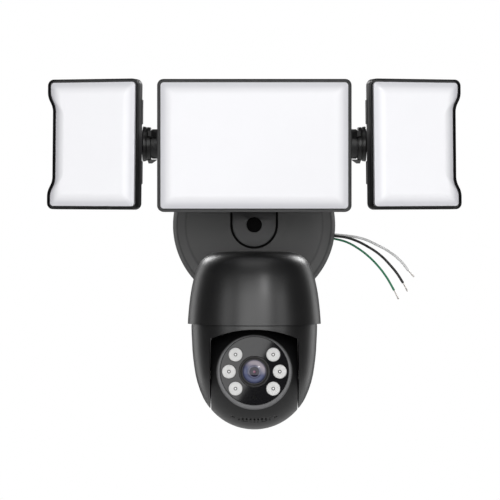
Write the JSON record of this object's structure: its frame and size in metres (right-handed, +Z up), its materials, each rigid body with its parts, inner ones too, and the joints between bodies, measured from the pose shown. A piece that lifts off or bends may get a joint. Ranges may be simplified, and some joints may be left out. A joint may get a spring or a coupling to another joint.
{
  "type": "floodlight security camera",
  "caption": "Wall floodlight with a centre lamp, swivelling side lamps on ball joints and a pan and tilt dome camera under a round canopy.",
  "frame": {"origin": "middle of the mounting strap's back face, on the wall plane and on the canopy's axis", "axes": "+Z up, +X to the right seen from the front, +Y into the wall; the lamps face -Y"},
  "size_m": [0.3254, 0.1478, 0.2754],
  "materials": {
    "black_plastic": "satin black moulded plastic",
    "black_metal": "black powder coat, fine texture",
    "steel": "zinc plated",
    "rubber": "matte black",
    "milk_white": "milky white diffusing cover",
    "board": "green solder mask",
    "window": "polished black window",
    "lens": "coated lens glass",
    "nylon": "natural nylon",
    "grey_ring": "satin dark grey",
    "led_white": "frosted lens caps on a board",
    "wire_white": "white insulation, tinned end",
    "wire_black": "black insulation, tinned end",
    "wire_green": "green insulation, tinned end"
  },
  "bodies": {
    "base": {"mounting_strap": "steel", "wall_gasket": "rubber", "canopy": "black_plastic", "canopy_bolt": "steel", "bolt_plug": "rubber", "wire_grommet": "rubber", "white_wire": "wire_white", "black_wire": "wire_black", "green_wire": "wire_green", "clamp_screw_upper": "steel", "clamp_screw_lower": "steel", "light_arm": "black_metal", "bar_clamp": "black_metal", "cross_bar": "black_metal", "camera_hood": "black_plastic", "camera_neck": "black_metal", "pan_plate": "nylon", "pan_bearing": "steel", "pan_motor": "steel", "main_board": "board"},
    "centre_lamp": {"centre_lamp_housing": "black_metal", "centre_diffuser": "milk_white", "centre_lamp_gasket": "rubber", "centre_led_board": "board", "centre_hinge_bracket": "black_metal"},
    "pan_yoke": {"yoke_shell": "black_plastic", "left_arm_cover": "black_plastic", "right_arm_cover": "black_plastic", "tilt_motor": "steel", "pan_gear": "nylon"},
    "pan_pinion": {"pan_pinion": "nylon"},
    "tilt_head": {"head_front_shell": "black_plastic", "head_rear_shell": "black_plastic", "face_bezel": "grey_ring", "face_window": "window", "ir_led_board": "led_white", "lens_barrel": "black_plastic", "lens_glass": "lens", "speaker": "steel", "left_axle": "steel", "right_axle": "steel", "tilt_gear": "nylon"},
    "tilt_pinion": {"tilt_pinion": "nylon"},
    "left_ball_seat": {"left_ball_seat": "nylon"},
    "left_lamp": {"left_lamp_housing": "black_metal", "left_diffuser": "milk_white", "left_lamp_gasket": "rubber", "left_led_board": "board", "left_socket_block": "black_metal", "left_ball_stem": "steel"},
    "left_lock_nut": {"left_lock_nut": "black_plastic"},
    "right_ball_seat": {"right_ball_seat": "nylon"},
    "right_lamp": {"right_lamp_housing": "black_metal", "right_diffuser": "milk_white", "right_lamp_gasket": "rubber", "right_led_board": "board", "right_socket_block": "black_metal", "right_ball_stem": "steel"},
    "right_lock_nut": {"right_lock_nut": "black_plastic"}
  },
  "joints": [
    {"name": "centre_lamp_tilt", "type": "hinge", "parent": "base", "child": "centre_lamp", "pos_m": [0, -0.084, 0.064], "axis": [1, 0, 0], "range_deg": [-30, 45]},
    {"name": "left_lamp_tilt", "type": "hinge", "parent": "base", "child": "left_ball_seat", "pos_m": [-0.0845, -0.084, 0.064], "axis": [1, 0, 0], "range_deg": [-60, 60]},
    {"name": "left_lamp_swing", "type": "hinge", "parent": "left_ball_seat", "child": "left_lamp", "pos_m": [-0.0845, -0.084, 0.064], "axis": [0, 0, 1], "range_deg": [-40, 15]},
    {"name": "left_nut_turn", "type": "hinge", "parent": "base", "child": "left_lock_nut", "pos_m": [-0.0845, -0.084, 0.064], "axis": [1, 0, 0], "range_deg": [-90, 0]},
    {"name": "right_lamp_tilt", "type": "hinge", "parent": "base", "child": "right_ball_seat", "pos_m": [0.0845, -0.084, 0.064], "axis": [1, 0, 0], "range_deg": [-60, 60]},
    {"name": "right_lamp_swing", "type": "hinge", "parent": "right_ball_seat", "child": "right_lamp", "pos_m": [0.0845, -0.084, 0.064], "axis": [0, 0, 1], "range_deg": [-15, 40]},
    {"name": "right_nut_turn", "type": "hinge", "parent": "base", "child": "right_lock_nut", "pos_m": [0.0845, -0.084, 0.064], "axis": [1, 0, 0], "range_deg": [0, 90]},
    {"name": "camera_pan", "type": "hinge", "parent": "base", "child": "pan_yoke", "pos_m": [0, -0.095, -0.07], "axis": [0, 0, 1], "range_deg": [-175, 175]},
    {"name": "pan_pinion_turn", "type": "hinge", "parent": "base", "child": "pan_pinion", "pos_m": [0, -0.115, -0.0565], "axis": [0, 0, 1], "range_deg": [-705, 705]},
    {"name": "camera_tilt", "type": "hinge", "parent": "pan_yoke", "child": "tilt_head", "pos_m": [0, -0.095, -0.1183], "axis": [1, 0, 0], "range_deg": [-15, 90]},
    {"name": "tilt_pinion_turn", "type": "hinge", "parent": "pan_yoke", "child": "tilt_pinion", "pos_m": [-0.039, -0.095, -0.1033], "axis": [1, 0, 0], "range_deg": [-370, 70]}
  ],
  "couplings": [
    {"joint": "pan_pinion_turn", "follows": "camera_pan", "ratio": -4},
    {"joint": "tilt_pinion_turn", "follows": "camera_tilt", "ratio": -4}
  ]
}
